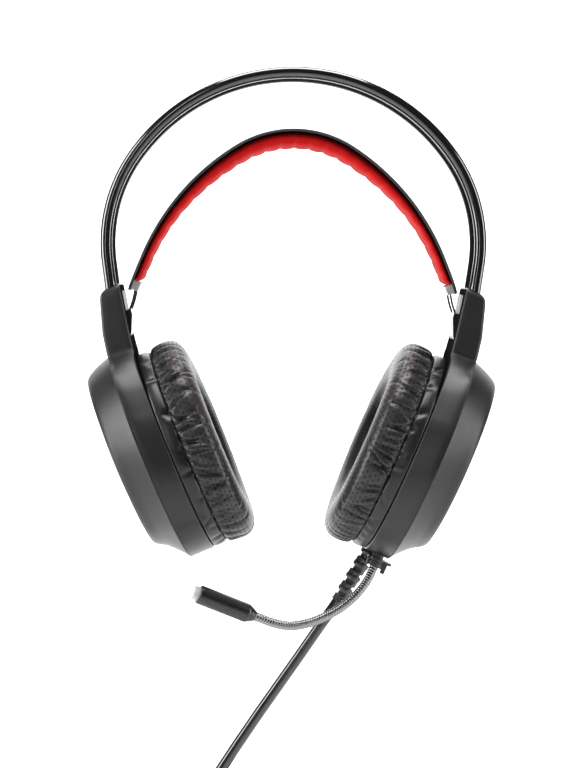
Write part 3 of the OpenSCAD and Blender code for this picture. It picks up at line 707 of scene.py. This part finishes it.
def housing(side):
    """Outline points run round the cup. At each, a closed section goes over the rim: rounded
    edge, outer wall, rounded edge, outward face, bore wall, and the head-side face back again."""
    half = ring_outline()
    outline = np.vstack([half, (half * [1, -1])[1:-1][::-1]])
    heading = unit(np.roll(outline, -1, 0) - np.roll(outline, 1, 0))
    normal = np.stack([heading[:, 1], -heading[:, 0]], axis=1)
    normal *= np.sign(np.einsum("ij,ij->", normal, outline))
    angle = np.arctan2(outline[:, 1], outline[:, 0])
    bore = BORE_R * np.stack([np.cos(angle), np.sin(angle)], axis=1)
    shell_edge = (-SHELL_EDGE_U * np.cos(angle)
                  + np.sqrt(SHELL_EDGE_R ** 2 - (SHELL_EDGE_U * np.sin(angle)) ** 2))
    flare = (shell_edge - RING_R) * smoothstep((outline[:, 0] + 54) / 14)
    edge = 0.3 + 1.5 * (1 - smoothstep((outline[:, 0] + 56) / 8))
    lower, upper = head_side(outline[:, 0]), outward_side(outline[:, 0])
    quarter = np.linspace(0, np.pi / 2, 5)
    across = np.linspace(0.08, 1, 14)
    rows = []
    for a in quarter:
        rim = outline - normal * BEVEL * (1 - math.sin(a))
        rows.append(np.column_stack([rim, lower + BEVEL * (1 - math.cos(a))]))
    for f in (0.25, 0.5, 0.75):
        wall = outline + normal * (flare * f)[:, None]
        rows.append(np.column_stack([wall, lower + BEVEL + (upper - lower - 2 * BEVEL) * f]))
    for a in quarter:
        rim = outline + normal * (flare - edge * (1 - math.cos(a)))[:, None]
        rows.append(np.column_stack([rim, upper - edge * (1 - math.sin(a))]))
    top = outline + normal * (flare - edge)[:, None]
    for t in across:
        p = top + (bore - top) * t
        rows.append(np.column_stack([p, outward_side(p[:, 0])]))
    low = outline - normal * BEVEL
    for t in across[::-1]:
        p = low + (bore - low) * t
        rows.append(np.column_stack([p, head_side(p[:, 0])]))
    return cup_to_world(np.array(rows), side)


for label, side in CUPS:
    skin(label + "_arm", housing(side), "headset_frame", "housing_black", [label + "_arm_housing"],
         loop=True)

# %% [markdown]
# ## Outer shells and dome plates
# The outer shell leans: its rings slide up the cup as they get smaller. A plain lathe can't lean,
# so each ring of the profile has its own middle. The plate is a shallow dome, sunk a little so
# that a groove runs round it, and it is lathed.

# %% Outer shell and plate
PLATE_U = -5.4                               # the plate's middle, up the cup
PLATE_R, PLATE_TOP, PLATE_FLOOR = 34.6, 29.0, 23.6
DOME_R, DOME_FALL = 34.7, 3.0                # the dome falls this far at this radius
GROOVE_R, SHELL_FLOOR, SHELL_BACK = 37.6, 23.4, 21.4
SHELL = [[12.2, -2.1, 50.9], [15.5, -3.7, 48.4], [20.2, -5.1, 45.2], [24.0, -5.3, 43.0],
         [25.3, -5.25, 41.9]]


def shell_rings(side, sides=160):
    """Rings of (depth, centre, radius) skinned in order: outside wall, rounded rim, groove wall,
    groove floor to the middle, then the inside of the shell back from the middle to the seam."""
    seam = [[12.12, -2.1, 50.6]]
    rim = [[25.7, -5.22, 41.4], [25.8, -5.25, 40.8], [25.8, PLATE_U, 38.6], [25.65, PLATE_U, 37.9],
           [25.2, PLATE_U, GROOVE_R]]
    floor = [[SHELL_FLOOR + 0.05, PLATE_U, GROOVE_R], [SHELL_FLOOR, PLATE_U, GROOVE_R - 0.4],
             [SHELL_FLOOR, PLATE_U, 20.0], [SHELL_FLOOR, PLATE_U, 1.0]]
    back_wall = [[SHELL_BACK, PLATE_U, 1.0], [SHELL_BACK, PLATE_U, 20.0], [SHELL_BACK, PLATE_U, 40.6]]
    inner = spline([[20.2, -5.1, 43.0], [15.5, -3.7, 46.2], [12.25, -2.1, 48.7]], 1.0)
    profile = np.vstack([seam, spline(SHELL, 0.5), rim, floor, back_wall, inner])
    n, c, r = (profile[:, k, None] for k in range(3))
    return cup_to_world(rings_about(r, n, around(sides), c), side)


def plate_rings(side):
    """A dome: height falls with the square of the radius, then a rounded edge and a flat back."""
    r = np.linspace(0.5, PLATE_R - 1, 30)
    dome = np.stack([r, PLATE_TOP - DOME_FALL * (r / DOME_R) ** 2], axis=1)
    corners = [[PLATE_R - 1, 26.2], [PLATE_R, 26.0], [PLATE_R, PLATE_FLOOR], [0.5, PLATE_FLOOR]]
    edge = rounded(corners, 0.9)
    rings = lathe(np.vstack([dome, edge[1:]]), 160)
    rings[..., 0] += PLATE_U
    return cup_to_world(rings, side)


for label, side in CUPS:
    skin(label + "_shell", shell_rings(side), "headset_frame", "housing_black", [label + "_outer_shell"],
         loop=True)
    skin(label + "_plate", plate_rings(side), "headset_frame", "plate_black", [label + "_dome_plate"])

# %% [markdown]
# ## Cushion skirts
# A stretched leather band covers the step between ring and cushion. Its folds could be sculpted by
# hand, but would have to be made again for each new size. Here the band is lathed, and random
# slanting valleys are pressed into it where the cover is pulled to the seam.

# %% Skirts
SKIRT_COLUMNS = 420
SKIRT_SEAM = -6.2                            # depth of the seam with the cushion
SKIRT = rounded([[46.5, -6.0], [47.4, -6.15], [48.2, -5.2], [48.55, -3.0], [48.5, -0.7],
                 [48.1, 0.1], [45.2, 0.1], [45.2, -6.1], [46.5, -6.0]], 0.8, 6)


def folds(turn, depth, count, seed, low, high, width):
    """Sums of narrow valleys: each has its own angle, slant, length and strength, and fades with
    distance from the seam, which is where depth is 0."""
    rng = np.random.default_rng(seed)
    total = np.zeros(np.broadcast_shapes(turn.shape, depth.shape))
    for _ in range(count):
        at, slant = rng.uniform(-np.pi, np.pi), rng.normal(0, 0.008)
        length, strength = rng.uniform(low, high), rng.uniform(0.4, 1.0)
        wide = width * rng.uniform(0.7, 1.4) * (1 + 0.04 * depth)
        gap = (turn - at - slant * depth + np.pi) % (2 * np.pi) - np.pi
        total += strength * np.exp(-(gap / wide) ** 2) / (1 + (np.maximum(depth, 0) / length) ** 4)
    return total


def skirt_rings(side, seed):
    """The skirt's profile turned round the cup, its outside pushed in along the folds."""
    rings = lathe(SKIRT, SKIRT_COLUMNS)
    turn = around(SKIRT_COLUMNS)[None, :]
    depth = (SKIRT[:, 1] - SKIRT_SEAM)[:, None]
    outside = smoothstep((SKIRT[:, 0] - 46.8) / 1.2)[:, None]
    dent = 1.15 * np.clip(folds(turn, depth, 34, seed, 1.5, 6.0, 0.028), 0, 1.4) * outside
    scale = 1 - dent / 48.0
    rings[..., 0] *= scale
    rings[..., 1] *= scale
    return cup_to_world(rings, side)


for label, side, seed in (("left", 1, 3), ("right", -1, 8)):
    skin(label + "_skirt", skirt_rings(side, seed), "headset_frame", "skirt_leather",
                   [label + "_cushion_skirt"], loop=True)

# %% [markdown]
# ## Ear cushions
# Each cushion is a foam ring in perforated imitation leather, gathered into the seam at its back.
# Cloth simulation makes such puckers too, but nobody can say how many or where. So the section is
# a soft crowned loop turned round the cup, and the gathers are valleys that start at the seam, one
# for each stitch, and run towards the face.

# %% Cushions
CUSHION_COLUMNS = 620
GATHERS, LONG_FOLDS = 84, 10


def cushion_section():
    """The closed section of the cushion, (radius, depth) from the seam over the crest to the ear
    opening and back, as a smooth curve through a few corners."""
    corners = [[47.0, -6.3], [48.8, -7.4], [49.5, -9.6], [49.7, -12.6], [49.4, -15.8], [48.0, -18.9],
               [45.0, -21.1], [40.6, -22.2], [35.6, -22.1], [31.0, -20.8], [27.6, -17.9], [25.8, -13.6],
               [25.7, -9.0], [27.2, -6.4]]
    line = spline(corners, 0.35)
    flat = np.stack([np.linspace(27.6, 46.8, 14), np.full(14, -6.25)], axis=1)
    return np.vstack([line, flat])


def gathers(turn, depth, count, seed):
    """Puckers along the seam: one valley for each stitch, spaced evenly but for a random share of
    the spacing. Each valley is sharp, slants a little, and dies out at its own depth."""
    rng = np.random.default_rng(seed)
    spacing = 2 * np.pi / count
    total = np.zeros(np.broadcast_shapes(turn.shape, depth.shape))
    for k in range(count):
        at = spacing * (k + rng.uniform(-0.3, 0.3))
        slant, strength = rng.normal(0, 0.006), rng.uniform(0.45, 1.0)
        length = rng.uniform(5.0, 9.0) + 5.0 * strength * rng.uniform(0, 1)
        wide = spacing * rng.uniform(0.16, 0.34)
        gap = (turn - at - slant * depth + np.pi) % (2 * np.pi) - np.pi
        total += strength * np.exp(-np.abs(gap / wide) ** 1.4) / (1 + (depth / length) ** 4)
    return total


def cushion_rings(side, seed):
    """The section turned round the cup. Every point moves along the section's normal by the
    gathers, a few long folds and a slow swelling, which all fade out at the seam and in the ear
    opening."""
    sec = cushion_section()
    heading = unit(np.roll(sec, -1, 0) - np.roll(sec, 1, 0))
    normal = np.stack([-heading[:, 1], heading[:, 0]], axis=1)
    normal *= np.sign(np.einsum("ij,ij->", normal, sec - sec.mean(0)))
    turn = around(CUSHION_COLUMNS)[None, :]
    depth = run_along(sec)[:, None]
    soft = smoothstep(depth / 1.5) * smoothstep((58 - depth) / 8)
    gather = gathers(turn, depth, GATHERS, seed)
    long_folds = folds(turn, depth, LONG_FOLDS, seed + 50, 8.0, 15.0, 0.03)
    swell = (0.25 * np.sin(3 * turn + seed) * np.sin(depth / 9)
             + 0.22 * np.sin(7 * turn + 2 * seed) * np.exp(-((depth - 9) / 8) ** 2))
    move = soft * (swell - 2.3 * np.clip(gather, 0, 1.1) - 0.9 * np.clip(long_folds, 0, 1.2))
    move = move * smoothstep((60 - depth) / 10)
    r = sec[:, 0, None] + move * normal[:, 0, None]
    n = sec[:, 1, None] + move * normal[:, 1, None]
    return cup_to_world(rings_about(r, n, turn), side)


for label, side, seed in (("left", 1, 21), ("right", -1, 34)):
    skin(label + "_cushion", cushion_rings(side, seed), "headset_frame", "cushion_leather",
                   [label + "_ear_cushion"], loop=True)

# %% [markdown]
# ## Ear cloths
# A thin open cloth is stretched flat behind the ear opening. A bare circle would do from one side
# only, so it is a thin closed disc.

# %% Ear cloths
CLOTH_R, CLOTH_FRONT, CLOTH_BACK = 37.6, -6.2, -5.85
r = np.linspace(0.6, CLOTH_R, 24)
ear_face = np.stack([r, np.full_like(r, CLOTH_FRONT)], axis=1)
cup_face = np.stack([r[::-1], np.full_like(r, CLOTH_BACK)], axis=1)
cloth = lathe(np.vstack([ear_face, cup_face]), 96)
for label, side in CUPS:
    skin(label + "_cloth", cup_to_world(cloth, side), "headset_frame", "cloth_black",
         [label + "_ear_cloth"])

# %% [markdown]
# ## Gooseneck
# A wound steel sleeve bends anywhere. A ring repeated by an Array along a curve would look alike
# from afar, but its ridges would not climb. Here the surface is a helix: the radius rises and falls
# with the angle round the neck plus the way along it, so the ridge climbs one pitch in each turn.
# It is made in two lengths, split at the third point of NECK, and neither length is parented to a body.

# %% Gooseneck
NECK = [[39.4, -5.3, -199.2], [36.4, -8, -204.9], [31.2, -12.5, -210.9], [24.1, -17.5, -216.2],
        [16.6, -22.5, -219.6], [9.4, -27, -221.8], [0.8, -32, -222.6], [-6.6, -35.6, -221],
        [-14.9, -38.6, -217.7]]
NECK_ROOT = [40.0, -4.7, -198.0]             # inside the grommet
CORE_R, RIDGE, PITCH = 1.48, 0.72, 1.35      # radius in the valleys, ridge height, turn to turn
MIC_WAY = np.array([-0.906, -0.193, 0.377])
MIC_DIR = MIC_WAY / np.linalg.norm(MIC_WAY)
MIC_BASE = np.array(NECK[-1]) + MIC_WAY


def wound(path, pitch, sides=28):
    """A tube whose radius follows a rounded wire wound round it."""
    turn = np.linspace(0, 1, sides, endpoint=False)
    phase = (run_along(path)[:, None] / pitch + turn[None, :]) % 1.0
    return tube(path, CORE_R + RIDGE * np.sqrt(np.clip(1 - (2 * phase - 1) ** 2, 0, 1)), sides)


neck = spline([NECK_ROOT] + NECK + [(MIC_BASE + 0.3 * MIC_DIR).tolist()], 0.11)
joint_at = int(np.argmin(np.linalg.norm(neck - np.array(NECK[2]), axis=1)))
upper = skin("neck_upper", wound(neck[:joint_at + 1], PITCH), None, "neck_chrome", ["neck_root"])
lower = skin("neck_lower", wound(neck[joint_at:], PITCH), None, "neck_chrome", ["neck_tip"])
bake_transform(upper)
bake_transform(lower)

# %% [markdown]
# ## Microphone
# The microphone is a chamfered collar, a satin cylinder and a milky tip. Cylinders with a Bevel
# modifier come close, but a lathed profile sets each chamfer on its own. The profiles are written
# upright and then turned so that their height runs along the microphone.

# %% Microphone
def along(rings, base, axis):
    """Turns lathe rings so that their height runs along an axis from a base point."""
    a = unit(np.cross([0.0, 1.0, 0.0], axis))
    b = np.cross(axis, a)
    return base + rings[..., 0, None] * a + rings[..., 1, None] * b + rings[..., 2, None] * axis


collar = rounded([[0.3, 0.0], [2.3, 0.0], [3.6, 2.45], [3.6, 2.58], [0.3, 2.58]], 0.2)
body = rounded([[0.3, 2.6], [3.65, 2.6], [4.4, 4.1], [4.4, 28.0], [3.9, 28.5], [3.35, 28.5], [3.35, 20.0],
                [0.3, 20.0]], 0.45)
tip = rounded([[0.3, 21.6], [3.25, 21.6], [3.25, 30.9], [2.9, 31.3], [0.3, 31.3]], 0.5, 8)
for label, profile, slot, node in (("mic_ring", collar, "mic_black", "mic_collar"),
                                   ("mic_case", body, "mic_black", "mic_housing"),
                                   ("mic_tip", tip, "lens_white", "mic_lens")):
    skin(label, along(lathe(profile, 64), MIC_BASE, MIC_DIR), "boom_tip", slot, [node])

# %% [markdown]
# ## Strain relief
# A moulded rubber sleeve, slotted on alternate sides so that it bends in steps. Slots could be cut
# with Boolean boxes, whose edges would stay sharp. Here the radius is a gentle taper with a collar
# at the start of each segment, and it dips softly where a slot passes.

# %% Strain relief
RELIEF_TOP = np.array([38.2, 6.0, -192.2])
RELIEF_DIR = unit(np.array([-0.52, 0.0, -0.854]))
RELIEF_R, ROOT_R, TAPER = 3.75, 3.0, 0.016
SEGMENT, SLOT_DEPTH = 6.9, 1.0
SIDES = 48
way = np.arange(-3.2, 28.45, 0.16)[:, None]
turn = around(SIDES)[None, :]
in_segment = way % SEGMENT


def slot(middle, half, soft, facing, reach):
    """1 inside a slot and 0 outside: a soft step along the sleeve times a soft step in the cosine
    of the angle from the side that the slot faces."""
    return (smoothstep((half - np.abs(in_segment - middle)) / soft)
            * smoothstep((np.cos(turn - facing) + reach) / 0.3))


slots = slot(3.4, 1.15, 0.35, 0.0, 0.45) + slot(6.0, 0.75, 0.3, np.pi, 0.2)
radius = RELIEF_R - TAPER * np.maximum(way, 0) + 0.28 * np.exp(-((in_segment - 1.0) / 0.9) ** 4)
radius = radius - SLOT_DEPTH * np.clip(slots, 0, 1) * (way > 0.5)
radius = np.where(way < 0.3, ROOT_R, radius)
skin("relief_sleeve", tube(RELIEF_TOP + way * RELIEF_DIR, radius, SIDES), "headset_frame",
     "rubber_black", ["strain_relief"])

# %% [markdown]
# ## Small hard parts
# Clips, cord exits, covers, socket and plug have plain shapes that the CAD already gives, so they
# aren't made again. A small bevel catches the light along their edges as a moulded radius does.

# %% Bevels on CAD parts
EDGE_RADIUS = {name: 0.0003 for name in (
    "left_strap_clip", "right_strap_clip", "left_cord_exit", "right_cord_exit", "left_arm_cover",
    "right_arm_cover", "mic_grommet", "plug_relief", "plug_shell")}
EDGE_RADIUS["plug_body"] = 0.0012
for name, width in EDGE_RADIUS.items():
    bevel = NODES[name].modifiers.new("edge", "BEVEL")
    bevel.width = width
    bevel.segments = 3
    bevel.limit_method = "ANGLE"
    bevel.angle_limit = math.radians(35)
    NODES[name].data.polygons.foreach_set("use_smooth", [True] * len(NODES[name].data.polygons))
print("bevelled parts", len(EDGE_RADIUS))

# %% [markdown]
# ## Studio
# A dark object on white is drawn by what it reflects. A world image would light it from all sides
# and flatten it. So a pale sweep of paper lies below and stands behind, and soft boxes stand on
# the left, on the right and above, where each draws a band of light along the edges. A narrow
# strip in front lifts the shadows a little, and a strong light washes only the paper behind.

# %% Floor and lights
FLOOR_Z, BEND_Y = -0.4095, 1.6


def paper():
    """A sheet in metres that lies flat in front, bends up in a quarter circle of radius 1 and
    stands behind."""
    flat_y = np.linspace(-3.0, BEND_Y, 12)
    arc = np.radians(np.linspace(0, 90, 20))[1:]
    y = np.concatenate([flat_y, BEND_Y + np.sin(arc), [BEND_Y + 1.0, BEND_Y + 1.0]])
    z = FLOOR_Z + np.concatenate([np.zeros(12), 1.0 - np.cos(arc), [2.5, 5.0]])
    x = np.linspace(-3.0, 3.0, 9)
    grid = np.stack(np.broadcast_arrays(x[None, :], y[:, None], z[:, None]), axis=-1)
    rows, cols = grid.shape[:2]
    i, j = np.meshgrid(np.arange(rows - 1), np.arange(cols - 1), indexing="ij")
    quads = np.stack([i * cols + j, i * cols + j + 1, (i + 1) * cols + j + 1, (i + 1) * cols + j], -1)
    sheet = smooth_object("paper", grid.reshape(-1, 3), quads.reshape(-1, 4).tolist())
    mat = bpy.data.materials.new("paper_white")
    mat.use_nodes = True
    surface = mat.node_tree.nodes["Principled BSDF"]
    surface.inputs["Base Color"].default_value = (0.9, 0.9, 0.9, 1)
    surface.inputs["Roughness"].default_value = 0.9
    sheet.data.materials.append(mat)


def soft_light(name, spot, aim, width, height, power):
    """A rectangular soft light at a spot, turned towards a point."""
    data = bpy.data.lights.new(name, "AREA")
    data.shape = "RECTANGLE"
    data.size, data.size_y, data.energy = width, height, power
    lamp = bpy.data.objects.new(name, data)
    lamp.location = spot
    lamp.rotation_euler = (Vector(aim) - Vector(spot)).to_track_quat("-Z", "Y").to_euler()
    bpy.context.scene.collection.objects.link(lamp)


paper()
middle = (0.0, 0.0, -0.12)
soft_light("left_box", (-1.25, -0.35, 0.15), middle, 0.5, 1.5, 19.0)
soft_light("right_box", (1.25, -0.3, 0.05), middle, 0.4, 1.4, 11.0)
soft_light("top_box", (0.0, -0.15, 1.1), middle, 0.9, 0.6, 15.0)
soft_light("front_strip", (-0.5, -1.4, 0.35), middle, 0.12, 1.0, 2.0)
soft_light("back_wash", (0.0, 1.0, 1.5), (0.0, 2.6, 0.1), 1.6, 1.0, 100.0)
world = bpy.data.worlds.new("studio")
world.use_nodes = True
sky = world.node_tree.nodes["Background"]
sky.inputs["Color"].default_value = (1, 1, 1, 1)
sky.inputs["Strength"].default_value = 0.05
bpy.context.scene.world = world
bpy.context.scene.view_settings.view_transform = "Standard"
